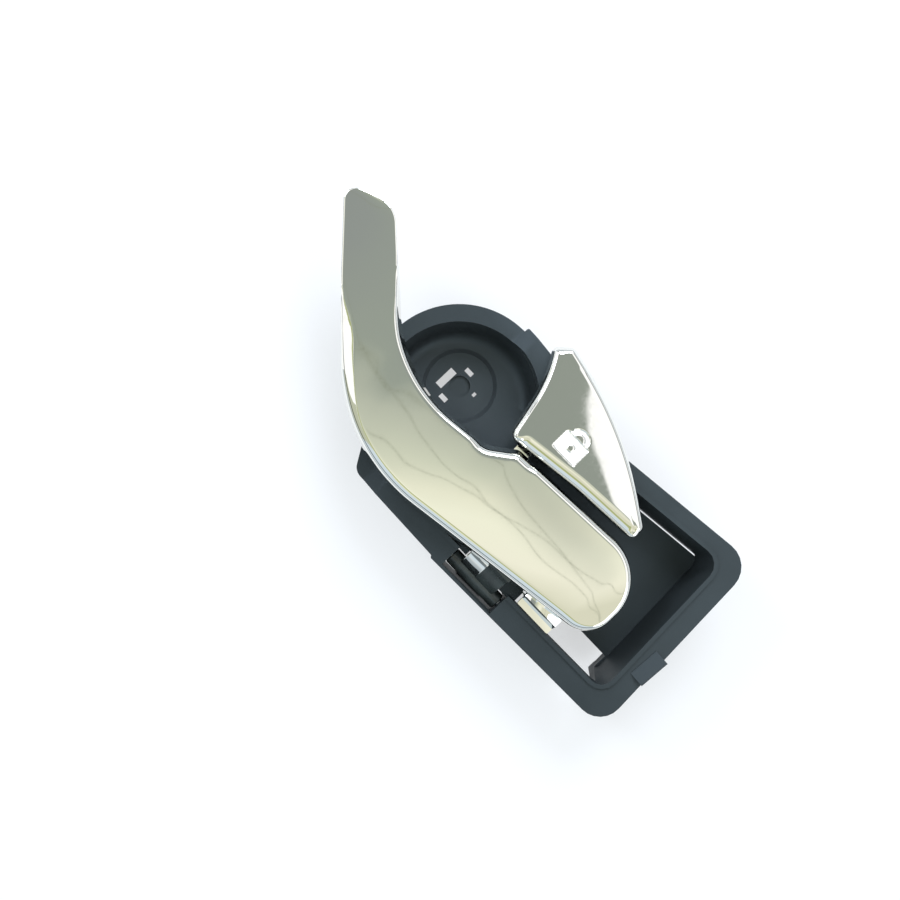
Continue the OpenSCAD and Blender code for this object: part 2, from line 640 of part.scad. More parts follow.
module wire(points, r, w = 8) {
    k = len(points);
    rings = [for (i = [0:k - 1])
        wire_ring(points[i], unit(points[min(i + 1, k - 1)] - points[max(i - 1, 0)]), r, w)];
    sides = [for (i = [0:k - 2]) each band(i * w, (i + 1) * w, w)];
    ends = [for (i = [1:w - 2]) each [[0, i + 1, i], [(k - 1) * w, (k - 1) * w + i, (k - 1) * w + i + 1]]];
    polyhedron([for (r = rings) each r], turned(concat(sides, ends)));
}

// Torsion spring: one leg over the lever's post, the coil round the pin, one leg down its rib
module return_spring() {
    x0 = spring_x + wire_d / 2;
    per_turn = 16;
    steps = coil_turns * per_turn + per_turn / 4;
    coil = [for (i = [0:steps])
        let (a = 90 - 360 * i / per_turn)
        [x0 + coil_pitch * i / per_turn, pivot_y + coil_r * cos(a), pivot_z + coil_r * sin(a)]];
    last = coil[steps];
    moving_leg = [[x0, arm_y + 0.6, leg_z], [x0, arm_y - 3, leg_z]];
    fixed_leg = [[last[0], last[1], pivot_z - wire_d], [last[0], last[1], pivot_z - rib_drop + 0.5]];
    color(zinc_steel) wire(concat(moving_leg, coil, fixed_leg), wire_d / 2);
}

// Steel strip on the hinge skirt whose bent end bears on the lock lever's hub
module detent_spring() {
    x = strip_x;
    y0 = max(skirt_y(x), skirt_y(x + strip_w)) + run_gap;
    reach = lock_hub_d / 2 + 0.25;
    tip = [pivot_y - reach * 0.7, pivot_z - reach * 0.72];
    color(zinc_steel) difference() {
        along_x(x, strip_w)
            polygon([[y0, floor_z], [y0, pivot_z - 4.6], [tip[0] - strip_t, tip[1] - 0.2],
                     [tip[0] - 0.7, tip[1] + 0.9], [tip[0] - 0.5, tip[1] + 1.1], [tip[0], tip[1] - 0.2],
                     [y0 + strip_t, pivot_z - 4.8], [y0 + strip_t, floor_z]]);
        translate([x + strip_w / 2, y0 - 1, stud_z]) rotate([-90, 0, 0])
            cylinder(r = stud_r + run_gap, h = strip_t + 2);
    }
}

// Rod clip: a stud that snaps through the arm's eye and a sleeve across it for the rod
module rod_clip(x, y, arm_x0) {
    color(nylon_white) difference() {
        union() {
            translate([arm_x0 - 1.2, y, eye_z]) rotate([0, 90, 0])
                cylinder(r = eye_r - run_gap, h = x - arm_x0 + 1.4);
            translate([arm_x0 - 1.3, y, eye_z]) rotate([0, 90, 0])
                cylinder(r1 = eye_r - 0.5, r2 = eye_r + 0.4, h = 1.1);
            translate([x, y, eye_z]) rotate([0, 90, 0]) cylinder(r = eye_outer_r, h = clip_w);
            translate([x, y - clip_w / 2, rod_z]) cube([clip_w, clip_w, eye_z - rod_z]);
            translate([x + clip_w / 2, y - rod_sleeve / 2, rod_z]) rotate([-90, 0, 0])
                cylinder(r = clip_w / 2, h = rod_sleeve);
        }
        translate([x + clip_w / 2, y - rod_sleeve, rod_z]) rotate([-90, 0, 0])
            cylinder(r = rod_d / 2 + run_gap, h = 2 * rod_sleeve);
    }
}
module pull_rod_clip() { rod_clip(clip_x[0], arm_y, arm_x); }
module lock_rod_clip() { rod_clip(clip_x[1], lock_eye_y, lock_arm_x); }

// Rubber bumper with a spigot in its post
module bumper(at, roof_z) {
    z = roof_z - bumper_gap - bumper_h;
    color(rubber_black) translate([at[0], at[1], z]) {
        cylinder(r = bumper_r - 0.2, h = bumper_h - 0.8);
        translate([0, 0, bumper_h - 0.8 - eps]) cylinder(r1 = bumper_r - 0.2, r2 = bumper_r - 1, h = 0.8 + eps);
        translate([0, 0, 0.2 - spigot[1]]) cylinder(r = spigot[0] - fixed_gap, h = spigot[1]);
    }
}
module pull_bumper() { bumper(pull_stop, pull_roof_z); }
module lock_bumper() { bumper(lock_stop, lock_roof_z); }

bezel();
pull_lever();
lock_lever();
pivot_pin();
pin_washer();
lever_bush_front();
lever_bush_rear();
lock_bush_front();
lock_bush_rear();
return_spring();
detent_spring();
pull_rod_clip();
lock_rod_clip();
pull_bumper();
lock_bumper();
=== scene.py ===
import json
import math

import bmesh
import bpy
import numpy as np
from mathutils import Matrix, Vector


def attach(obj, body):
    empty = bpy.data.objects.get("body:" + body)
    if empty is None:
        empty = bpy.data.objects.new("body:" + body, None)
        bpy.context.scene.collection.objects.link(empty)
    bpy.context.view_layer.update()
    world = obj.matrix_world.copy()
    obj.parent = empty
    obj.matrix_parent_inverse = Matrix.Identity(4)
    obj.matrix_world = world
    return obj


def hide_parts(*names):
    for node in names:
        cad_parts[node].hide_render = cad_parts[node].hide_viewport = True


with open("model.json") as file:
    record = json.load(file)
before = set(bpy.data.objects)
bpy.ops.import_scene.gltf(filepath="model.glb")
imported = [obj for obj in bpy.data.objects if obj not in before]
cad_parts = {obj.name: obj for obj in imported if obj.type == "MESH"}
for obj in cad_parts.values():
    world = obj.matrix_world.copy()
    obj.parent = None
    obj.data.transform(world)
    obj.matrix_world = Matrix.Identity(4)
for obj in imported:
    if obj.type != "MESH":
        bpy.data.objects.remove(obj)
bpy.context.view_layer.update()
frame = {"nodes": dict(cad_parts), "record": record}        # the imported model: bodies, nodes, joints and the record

# An interior car door handle on its back: a black moulded bezel with a round finger cup, a swept chromed
# pull lever and a small triangular chromed lock lever on one pin. Lengths here are in millimetres.
mm = 0.001
pivot = {"y": -36.9, "z": 22.2}    # the hinge pin's axis, along X


def linear(hexColour):    # sRGB hex to linear: the usual curve, piece by piece
    values = [int(hexColour[i:i + 2], 16) / 255 for i in (1, 3, 5)]
    return [v / 12.92 if v <= 0.04045 else ((v + 0.055) / 1.055) ** 2.4 for v in values] + [1.0]


# A node, its settings, and its sockets set or linked
def addNode(tree, kind, settings=None, sockets=None):
    node = tree.nodes.new(kind)
    for key, value in (settings or {}).items():
        setattr(node, key, value)
    for key, source in (sockets or {}).items():
        if isinstance(source, bpy.types.NodeSocket):
            tree.links.new(source, node.inputs[key])
        else:
            node.inputs[key].default_value = source
    return node


def sums(tree, operation, *values):    # the result of one maths node
    return addNode(tree, "ShaderNodeMath", {"operation": operation}, dict(enumerate(values))).outputs[0]


def newMaterial(name):
    material = bpy.data.materials.new(name)
    material.use_nodes = True
    material.node_tree.nodes.clear()
    return material, material.node_tree


def finishMaterial(tree, shader):
    addNode(tree, "ShaderNodeOutputMaterial", None, {"Surface": shader.outputs[0]})


def ramp(tree, source, stops):
    node = addNode(tree, "ShaderNodeValToRGB", None, {"Fac": source})
    band = node.color_ramp
    while len(band.elements) < len(stops):
        band.elements.new(0.5)
    for element, (place, colour) in zip(band.elements, stops):
        element.position = place
        element.color = linear(colour) if isinstance(colour, str) else (colour, colour, colour, 1)
    return node.outputs["Color"]


def noise(tree, place, scale, detail=3.0, roughness=0.5):    # scale counts lumps per metre
    return addNode(tree, "ShaderNodeTexNoise", None, {"Vector": place, "Scale": scale, "Detail": detail,
                                                      "Roughness": roughness}).outputs["Fac"]


def bump(tree, height, strength, depth):    # depth in millimetres
    return addNode(tree, "ShaderNodeBump", None, {"Height": height, "Strength": strength,
                                                  "Distance": depth * mm}).outputs["Normal"]


# Decorative chrome over copper and nickel: a bright mirror, a little wavy as plated mouldings are. The
# attribute "etched" is 1 inside the padlock mark, whose floor is left rough by the engraving tool.
def chromePlating():
    material, tree = newMaterial("bright chrome plating")
    place = addNode(tree, "ShaderNodeTexCoord").outputs["Object"]
    haze = ramp(tree, noise(tree, place, 900.0), [(0.35, 0.02), (0.75, 0.05)])
    etched = addNode(tree, "ShaderNodeAttribute", {"attribute_name": "etched"}).outputs["Fac"]
    rough = sums(tree, "MULTIPLY_ADD", etched, 0.4, haze)
    shader = addNode(tree, "ShaderNodeBsdfPrincipled", None,
                     {"Metallic": 1.0, "Base Color": linear("#efefea"), "Roughness": rough,
                      "Normal": bump(tree, noise(tree, place, 60.0, 1.0, 0.4), 0.12, 0.4)})
    finishMaterial(tree, shader)
    return material


# Painted light on the bezel, in metres: the cup's axis and radii, and the band in Y where the painted sheen sets in
cup = {"centre": (0.0036, -0.0038, 0), "noCupLight": 0.0215, "paintedCupLight": 0.018, "noSheenY": -0.042,
       "fullSheenY": -0.012}


# ABS moulding in black: fine spark-eroded grain of about 0.15 mm, satin. The cup is painted paler by the distance
# from its axis, painted light against the shade in it. A painted sheen keeps the hinge side duller.
def blackMoulding():
    material, tree = newMaterial("black moulded plastic")
    place = addNode(tree, "ShaderNodeTexCoord").outputs["Object"]
    grain, flow = noise(tree, place, 3200.0, 3.0, 0.6), noise(tree, place, 45.0, 4.0, 0.55)
    flat = addNode(tree, "ShaderNodeVectorMath", {"operation": "MULTIPLY"}, {0: place, 1: (1, 1, 0)})
    fromCup = addNode(tree, "ShaderNodeVectorMath", {"operation": "DISTANCE"},
                      {0: flat.outputs[0], 1: cup["centre"]}).outputs["Value"]
    # painted light: the base colour paler towards the cup's axis, lifting the cup's shade
    paintedCupLight = addNode(tree, "ShaderNodeMapRange", {"interpolation_type": "SMOOTHSTEP"},
                     {"Value": fromCup, "From Min": cup["noCupLight"],
                      "From Max": cup["paintedCupLight"]}).outputs["Result"]
    across = addNode(tree, "ShaderNodeSeparateXYZ", None, {"Vector": place}).outputs["Y"]
    # painted sheen: the specular level rises from 0.28 to 0.5 towards +Y, so the hinge side reflects less
    paintedSheenSide = addNode(tree, "ShaderNodeMapRange", {"interpolation_type": "SMOOTHSTEP"},
                      {"Value": across, "From Min": cup["noSheenY"],
                       "From Max": cup["fullSheenY"]}).outputs["Result"]
    paintedSheen = sums(tree, "MULTIPLY_ADD", paintedSheenSide, 0.22, 0.28)
    # the random tone of the flow noise, plus the cup's painted paleness
    tone = ramp(tree, sums(tree, "MULTIPLY_ADD", paintedCupLight, 0.45, sums(tree, "MULTIPLY", flow, 0.5)),
                [(0.15, "#2a2f31"), (0.35, "#313739"), (0.8, "#42484b")])
    gloss = ramp(tree, flow, [(0.3, 0.44), (0.7, 0.56)])
    shader = addNode(tree, "ShaderNodeBsdfPrincipled", None,
                     {"IOR": 1.5, "Specular Tint": linear("#cfe2ee"), "Base Color": tone, "Roughness": gloss,
                      "Specular IOR Level": paintedSheen, "Normal": bump(tree, grain, 0.25, 0.05)})
    finishMaterial(tree, shader)
    return material


# The lever's bearing barrel: the moulding's own dark plastic, masked so that no plating narrows its bore
def maskedPlastic():
    material, tree = newMaterial("masked bearing plastic")
    place = addNode(tree, "ShaderNodeTexCoord").outputs["Object"]
    cloud = noise(tree, place, 220.0)
    shader = addNode(tree, "ShaderNodeBsdfPrincipled", None,
                     {"IOR": 1.5, "Base Color": ramp(tree, cloud, [(0.3, "#2c3232"), (0.7, "#3b4343")]),
                      "Roughness": ramp(tree, cloud, [(0.3, 0.22), (0.7, 0.34)]),
                      "Normal": bump(tree, cloud, 0.1, 0.05)})
    finishMaterial(tree, shader)
    return material


# Zinc-plated and drawn steel: fine lines along the part from drawing or turning
def drawnSteel(name, low, high, roughness):
    material, tree = newMaterial(name)
    place = addNode(tree, "ShaderNodeTexCoord").outputs["Object"]
    stretched = addNode(tree, "ShaderNodeMapping", None, {"Vector": place, "Scale": (300, 6000, 6000)})
    lines = noise(tree, stretched.outputs["Vector"], 1.0, 4.0)
    shader = addNode(tree, "ShaderNodeBsdfPrincipled", None,
                     {"Metallic": 1.0, "Base Color": ramp(tree, lines, [(0.3, low), (0.7, high)]),
                      "Roughness": roughness, "Normal": bump(tree, lines, 0.2, 0.03)})
    finishMaterial(tree, shader)
    return material


# Natural polyamide: milky, slightly see-through, satin
def naturalNylon():
    material, tree = newMaterial("natural nylon")
    place = addNode(tree, "ShaderNodeTexCoord").outputs["Object"]
    cloud = noise(tree, place, 160.0)
    shader = addNode(tree, "ShaderNodeBsdfPrincipled", None,
                     {"Roughness": 0.38, "IOR": 1.53, "Subsurface Weight": 0.2, "Subsurface Scale": mm,
                      "Base Color": ramp(tree, cloud, [(0.3, "#dcd8ca"), (0.7, "#e8e5da")]),
                      "Normal": bump(tree, cloud, 0.15, 0.05)})
    finishMaterial(tree, shader)
    return material


# Moulded rubber: matt, with a faint bloom
def blackRubber():
    material, tree = newMaterial("black rubber")
    place = addNode(tree, "ShaderNodeTexCoord").outputs["Object"]
    bloom = noise(tree, place, 500.0, 4.0)
    shader = addNode(tree, "ShaderNodeBsdfPrincipled", None,
                     {"Roughness": 0.8, "IOR": 1.52, "Normal": bump(tree, bloom, 0.3, 0.05),
                      "Base Color": ramp(tree, bloom, [(0.3, "#17191a"), (0.75, "#26292a")])})
    finishMaterial(tree, shader)
    return material


finishes = {
    "chrome_plating": chromePlating(),
    "bezel_plastic": blackMoulding(),
    "zinc_steel": drawnSteel("zinc-plated steel", "#b3b7ba", "#c6c9cb", 0.32),
    "spring_steel": drawnSteel("drawn spring steel", "#8d8f90", "#a6a8a8", 0.28),
    "white_nylon": naturalNylon(),
    "black_rubber": blackRubber(),
}
bearingPlastic = maskedPlastic()
print("materials made")


def newPiece(name, points, faces, body, slot, nodes=(), smoothAngle=None, finish=None):
    mesh = bpy.data.meshes.new(name)
    mesh.from_pydata((np.asarray(points, float) * mm).tolist(), [], [tuple(f) for f in faces])
    mesh.update()
    piece = bpy.data.objects.new(name, mesh)
    bpy.context.scene.collection.objects.link(piece)
    mesh.polygons.foreach_set("use_smooth", np.ones(len(mesh.polygons), bool))
    if smoothAngle:
        mesh.set_sharp_from_angle(angle=math.radians(smoothAngle))
    mesh.materials.append(finish or finishes[slot])
    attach(piece, body)
    if nodes:
        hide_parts(*nodes)
    return piece


def gridFaces(rows, cols, start=0, wrap=False, flip=False):    # quads between neighbouring rows and columns
    i, j = np.meshgrid(np.arange(rows - 1), np.arange(cols if wrap else cols - 1), indexing="ij")
    k = (j + 1) % cols
    quads = np.stack([i * cols + j, (i + 1) * cols + j, (i + 1) * cols + k, i * cols + k], -1)
    quads = quads.reshape(-1, 4) + start
    return (quads[:, ::-1] if flip else quads).tolist()


def smoothStep(x, low, high):    # 0 below low, 1 above high, a soft S between them
    t = np.clip((x - low) / (high - low), 0, 1)
    return t * t * (3 - 2 * t)


# A plan edge is a list of corners [x, y, radius]; each inner corner becomes an arc, sampled evenly by angle.
def edgePath(corners, count=40):
    out = []
    for a, b, c in zip(corners, corners[1:], corners[2:]):
        a2, b2, c2 = (np.array(p[:2], float) for p in (a, b, c))
        d1, d2 = (a2 - b2) / np.linalg.norm(a2 - b2), (c2 - b2) / np.linalg.norm(c2 - b2)
        half = math.acos(float(d1 @ d2)) / 2
        reach = b[2] / math.tan(half)
        centre = b2 + (d1 + d2) / np.linalg.norm(d1 + d2) * b[2] / math.sin(half)
        start, end = b2 + d1 * reach - centre, b2 + d2 * reach - centre
        turn = math.atan2(start[0] * end[1] - start[1] * end[0], float(start @ end))
        angle = math.atan2(start[1], start[0]) + turn * np.linspace(0, 1, count)
        out.append(centre + b[2] * np.stack([np.cos(angle), np.sin(angle)], 1))
    return np.concatenate(out)


# Stations from 0 to 1, closer together towards both ends: s - bunch sin(2 pi s) / (2 pi)
def stations(count, bunch):
    s = np.linspace(0, 1, count + 1)
    return s - bunch * np.sin(2 * math.pi * s) / (2 * math.pi)


# Points along an edge by share of its length, where the bend falls at a chosen share
def stationPoints(corners, bendAt, bendShare, places):
    path = edgePath(corners)
    run = np.concatenate([[0], np.cumsum(np.linalg.norm(np.diff(path, axis=0), axis=1))])
    share = np.interp(places, [0, bendAt, 1], [0, bendShare, 1]) * run[-1]
    return np.stack([np.interp(share, run, path[:, 0]), np.interp(share, run, path[:, 1])], 1)


fullWidth = 9.4    # mm: a lever narrower than this has its walls set in by less


# Both edges moved inwards along the outline's normal, by less where the lever is narrow
def shrink(left, right, distance):
    ring = np.concatenate([left, right[::-1]])
    step = np.roll(ring, -1, 0) - np.roll(ring, 1, 0)
    step /= np.linalg.norm(step, axis=1, keepdims=True)
    width = np.linalg.norm(left - right, axis=1)
    reach = distance * np.minimum(1, np.concatenate([width, width[::-1]]) / fullWidth)[:, None]
    ring = ring + reach * np.stack([-step[:, 1], step[:, 0]], 1)
    return ring[:len(left)], ring[len(left):][::-1]


# Shortest distance from each point to a closed outline, from every segment at once
def distanceTo(points, outline):
    a, b = outline, np.roll(outline, -1, 0)
    ab = b - a
    keep = (ab ** 2).sum(1) > 1e-12
    a, ab = a[keep], ab[keep]
    out = []
    for part in np.array_split(points, max(1, len(points) // 2000)):    # in batches, to save memory
        rel = part[:, None] - a[None]
        t = np.clip((rel * ab).sum(-1) / (ab ** 2).sum(-1), 0, 1)
        out.append(np.sqrt(((rel - t[..., None] * ab) ** 2).sum(-1)).min(1))
    return np.concatenate(out)


# What both levers share, in millimetres: the columns near each edge, by distance from it; the most of a
# row's width that they take; the share across where the left edge's form ends; the lower edge's rings as
# inset and rise
shell = {
    "edgeSteps": [0, 0.1, 0.25, 0.5, 0.8, 1.1, 1.22, 1.4, 1.65, 2.0, 2.4, 2.85, 3.4], "edgeShare": 0.46,
    "leastSlant": 0.35, "leftEnds": [0.62, 0.38], "sideStart": 1.4, "endFade": 0.9, "markMargin": 3.5,
    "roofBelow": 0.3, "lowerEdge": [(0.12, 0.8), (0.3, 0.15), (0.55, 0)], "wallSoft": [0.25, 0.3],
    "ceilingInset": 1,
}


# A hollow lever open below. Its outer face is a height over the plan: a drafted side, a quarter circle, a
# bevel on the left edge, then a crown of 4 f (1 - f) across the width. Inside are a straight wall and a flat
# roof.
def leverCap(spec):
    places = stations(spec["count"], spec["bunch"])
    left = stationPoints(spec["left"], spec["bend"][0], spec["bend"][1], places)
    right = stationPoints(spec["right"], spec["bend"][0], spec["bend"][2], places)
    width = np.linalg.norm(left - right, axis=1)[:, None]
    acrossWay = (right - left) / width

    def stepsFrom(edge):    # along the row, so that each step lies at its true distance from the edge
        run = np.gradient(edge, axis=0)
        run /= np.linalg.norm(run, axis=1, keepdims=True)
        slant = np.abs(acrossWay[:, 0] * run[:, 1] - acrossWay[:, 1] * run[:, 0])[:, None]
        full = np.array(shell["edgeSteps"]) / np.maximum(slant, shell["leastSlant"])
        return full * np.minimum(1, shell["edgeShare"] * width / full[:, -1:])

    fromLeft, fromRight = stepsFrom(left), stepsFrom(right)
    inner = np.linspace(0, 1, spec["across"] + 2)[1:-1]
    middle = fromLeft[:, -1:] + inner * (width - fromLeft[:, -1:] - fromRight[:, -1:])
    share = np.concatenate([fromLeft, middle, width - fromRight[:, ::-1]], 1) / width
    along = np.repeat(places[:, None], share.shape[1], 1)
    rows, cols = share.shape

    def plan(l, r):
        return l[:, None] + share[..., None] * (r - l)[:, None]

    outer = plan(left, right)
    top, low = spec["top"](along, outer), spec["low"](along)
    leftWay = smoothStep(share, *shell["leftEnds"])
    distance = distanceTo(outer.reshape(-1, 2), np.concatenate([left, right[::-1]])).reshape(rows, cols)
    side, radius = spec["edge"](along, outer, leftWay)
    arc = np.clip(side + radius - distance, 0, radius)
    drop = radius - np.sqrt(np.maximum(radius ** 2 - arc ** 2, 0))
    skirt = np.clip(distance / side, 0, 1)
    drop = drop + spec["bevel"](along, leftWay, distance)
    edgeTop = top - radius - spec["bevel"](along, leftWay, side)
    sideZ = (low + shell["sideStart"]) + skirt * (edgeTop - low - shell["sideStart"])
    crowned = spec["crown"] * 4 * share * (1 - share) * smoothStep(along, *spec["crownFrom"])
    height = np.where(distance < side, sideZ, top - drop + crowned * smoothStep(along, 1, shell["endFade"]))
    mark = np.zeros_like(height)
    if spec.get("mark"):
        mark = spec["mark"](outer) * (distance > shell["markMargin"])
    height = height - spec.get("markDepth", 0) * mark
    roof = spec["top"](along, outer) - spec["wall"] - shell["roofBelow"]

    i = np.arange(rows)
    j = np.arange(cols)
    loop = np.concatenate([i * cols, (rows - 1) * cols + j[1:], i[::-1][1:] * cols + cols - 1,
                           j[::-1][1:-1]])
    loopLow = low.reshape(-1)[loop]
    rings = []
    wallBack, wallRise = shell["wallSoft"]
    for inset, rise in shell["lowerEdge"] + [(spec["wall"] - wallBack, 0), (spec["wall"], wallRise)]:
        flatRing = plan(*shrink(left, right, inset)).reshape(-1, 2)[loop]
        rings.append(np.column_stack([flatRing, loopLow + rise]))
    ceiling = plan(*shrink(left, right, spec["wall"] + shell["ceilingInset"])).reshape(-1, 2)
    points = np.concatenate([np.column_stack([outer.reshape(-1, 2), height.reshape(-1)]), *rings,
                             np.column_stack([ceiling, roof.reshape(-1)])])
    size, k = rows * cols, len(loop)
    faces = gridFaces(rows, cols)
    chain = [loop] + [size + n * k + np.arange(k) for n in range(len(rings))]
    chain.append(size + len(rings) * k + loop)
    for a, b in zip(chain, chain[1:]):
        quads = np.stack([a, np.roll(a, -1), np.roll(b, -1), b], -1)
        faces += quads[:, ::-1].tolist()
    faces += gridFaces(rows, cols, start=size + len(rings) * k, flip=True)
    etched = np.zeros(len(points))
    etched[:size] = mark.reshape(-1)
    return points, faces, etched


# A closed profile in Y and Z carried along X, its ends drawn in a little by a small chamfer
def alongX(profile, x0, x1, soft=0.25):
    profile = np.array(profile, float)
    centre = profile.mean(0)
    away = profile - centre
    reach = np.linalg.norm(away, axis=1, keepdims=True)
    small = centre + away * np.maximum(0.1, 1 - soft / reach)
    rows = [(x0, small), (x0 + soft, profile), (x1 - soft, profile), (x1, small)]
    n = len(profile)
    points = np.concatenate([np.column_stack([np.full(n, x), p]) for x, p in rows])
    faces = gridFaces(len(rows), n, wrap=True) + [list(range(n)), list(range(4 * n - 1, 3 * n - 1, -1))]
    return points, faces


# A tube about the pin's line: an outer and an inner radius with chamfered ends, turned about X
def tubeOnPin(x0, x1, outer, inner, count=64, soft=0.25):
    y, z = pivot["y"], pivot["z"]
    profile = np.array([(x0 + soft, outer), (x1 - soft, outer), (x1, outer - soft), (x1, inner + soft / 2),
                        (x1 - soft / 2, inner), (x0 + soft / 2, inner), (x0, inner + soft / 2),
                        (x0, outer - soft)])
    turn = np.linspace(0, 2 * math.pi, count, endpoint=False)
    points = np.stack([np.repeat(profile[:, 0], count),
                       y + np.outer(profile[:, 1], np.cos(turn)).reshape(-1),
                       z + np.outer(profile[:, 1], np.sin(turn)).reshape(-1)], 1)
    ring = np.arange(len(profile) * count).reshape(-1, count)
    nextRing = np.roll(ring, -1, 0)
    faces = np.stack([ring, np.roll(ring, -1, 1), np.roll(nextRing, -1, 1), nextRing], -1).reshape(-1, 4)
    return points, faces[:, ::-1].tolist()


def together(*parts):
    points, faces, count = [], [], 0
    for p, f in parts:
        points.append(np.asarray(p))
        faces += [[v + count for v in face] for face in f]
        count += len(p)
    return np.concatenate(points), faces


# The padlock's centre, width and corner radius in millimetres; its other sizes are shares of the width
padlock = {"x": 36, "y": 13, "width": 8.4, "corner": 0.5, "halfHeight": 0.38, "keyhole": 0.13, "bow": 0.3,
           "bowHalf": 0.08, "soft": [-0.2, 0.16]}


# The plain padlock mark on the lock lever: 1 inside its lines, 0 outside, with a soft edge
def padlockMark(plan):
    x, y = plan[..., 0] - padlock["x"], plan[..., 1] - padlock["y"]
    size, corner = padlock["width"], padlock["corner"]
    half = padlock["halfHeight"] * size
    overX, overY = np.abs(x) - size / 2 + corner, np.abs(y + half) - half + corner
    block = np.maximum(overX, overY)
    block = np.where(block < 0, block, np.hypot(np.maximum(overX, 0), np.maximum(overY, 0))) - corner
    keyhole = np.hypot(x, y + half) - padlock["keyhole"] * size
    bow = np.maximum(np.abs(np.hypot(x, y) - padlock["bow"] * size) - padlock["bowHalf"] * size, -y)
    shape = np.minimum(np.maximum(block, -keyhole), bow)
    return 1 - smoothStep(shape, *padlock["soft"])


def arcPoints(cy, cz, radius, start, end, count):
    a = np.radians(np.linspace(start, end, count))
    return np.stack([cy + radius * np.cos(a), cz + radius * np.sin(a)], 1).tolist()


# A flat bevel of 10 degrees with a soft fold, on the pull lever's left edge from the tail to the round end
def foldedBevel(along, leftWay, distance):
    reach = 4.5 * smoothStep(along, 0.15, 0.29) - 1.6 * smoothStep(along, 0.33, 0.43)
    past = (reach - distance) * leftWay
    keep = smoothStep(along, 0.14, 0.18) * smoothStep(along, 0.97, 0.88) * leftWay
    return 0.176 * keep * (past + np.sqrt(past ** 2 + 0.04)) / 2


# The side's draft and the edge's radius: small at the tail, and full size where the lock lever passes close
def pullEdge(along, plan, leftWay):
    close = smoothStep(plan[..., 0], 14, 18) * smoothStep(plan[..., 0], 35, 31) * (1 - leftWay)
    scale = 0.16 + (0.58 + 0.26 * close) * smoothStep(along, 0.14, 0.36)
    return 1.1 * scale, 2.1 * scale


pullLever = {
    "left": [[-56.5, 18.4, 0], [-64.3, 15.2, 3.6], [-11, -39.2, 54], [80.3, -25.4, 10], [80.3, -15.2, 0]],
    "right": [[-56.5, 18.4, 0], [-49, 21.4, 8.5], [-12.3, -11.1, 42], [18.6, -7.1, 6], [26.3, -1.1, 3.2],
              [80.3, 2.4, 15.5], [80.3, -15.2, 0]],
    "bend": [0.42, 0.438, 0.324], "count": 400, "bunch": 0.75, "across": 46, "wall": 1.9,
    "crown": 0.25, "crownFrom": [0.36, 0.7], "edge": pullEdge, "bevel": foldedBevel, "faceZ": 37.6,
    "skirt": 8, "tailRise": 1.5,
    "barrel": [35.4, 54.8, 2.6, 1.87], "webIn": 3, "platedTo": 44.6, "tab": [58.2, 70.8],
    "arm": [61.0, 64.0], "armY": -28.6, "eyeZ": 9.2, "eyeR": 3.2,
}


def tailHeight(along):    # flat over the bezel, rising as a parabola towards the free end
    return pullLever["faceZ"] + pullLever["tailRise"] * np.clip(1 - along / pullLever["bend"][0], 0, 1) ** 2


pullLever["top"] = lambda along, plan: tailHeight(along)
pullLever["low"] = lambda along: tailHeight(along) - pullLever["skirt"]


def buildPullLever(s):
    points, faces = leverCap(s)[:2]
    py, pz = pivot["y"], pivot["z"]
    footZ, roofZ, ay = s["faceZ"] - s["skirt"], s["faceZ"] - s["wall"], s["armY"]
    webProfile = [[py - 0.4, pz + 1], [py + 1.6, pz - 1.2], [py + 5.9, footZ - 2], [py + 8.3, footZ + 0.2],
                  [py + 8.7, footZ + 4.4], [py + 6.9, footZ + 4.4], [py + 6.3, footZ + 1.4],
                  [py + 5.5, footZ - 0.4], [py + 1.9, footZ - 2]]
    web = alongX(webProfile, s["barrel"][0] + s["webIn"], s["platedTo"])
    arm = alongX(arcPoints(ay, s["eyeZ"], s["eyeR"], 180, 360, 24)
                 + [[ay + s["eyeR"] + 2, pz], [ay + 8, roofZ - 3], [ay + 12, roofZ], [ay + 1, roofZ],
                    [ay + 1, pz + 3], [ay - 1, pz]], *s["arm"])
    tab = alongX([[py + 4.5, footZ - 0.7], [py + 7.3, footZ - 0.7], [py + 8.3, footZ], [py + 11.3, footZ],
                  [py + 11.3, footZ + 2.2], [py + 7.8, footZ + 2.2], [py + 6.5, footZ + 0.4],
                  [py + 4.5, footZ + 0.4]], *s["tab"])
    newPiece("pullLeverChrome", *together((points, faces), web, arm, tab), "pull_body", "chrome_plating",
             ["pull_lever"], 40)
    masked = alongX(webProfile, s["platedTo"], s["barrel"][1] - s["webIn"])
    newPiece("pullLeverBarrel", *together(tubeOnPin(*s["barrel"]), masked), "pull_body", "bezel_plastic",
             ["pull_lever"], 40, bearingPlastic)


buildPullLever(pullLever)
print("pull lever made")

# The lock lever's edge beside the pull lever falls away in a curve, from a fold 4.2 mm inside, and its edge
# over the cup has a flat bevel 2.2 mm wide
def lockBevels(along, leftWay, distance):
    beside = leftWay * smoothStep(along, 0.36, 0.4) * smoothStep(along, 0.99, 0.93)
    overCup = leftWay * smoothStep(along, 0.37, 0.34) * smoothStep(along, 0.0, 0.05)
    past = 2.2 - distance
    return (1.04 * beside * np.clip(1 - distance / 4.2, 0, 1) ** 1.5
            + 0.25 * overCup * (past + np.sqrt(past ** 2 + 0.03)) / 2)


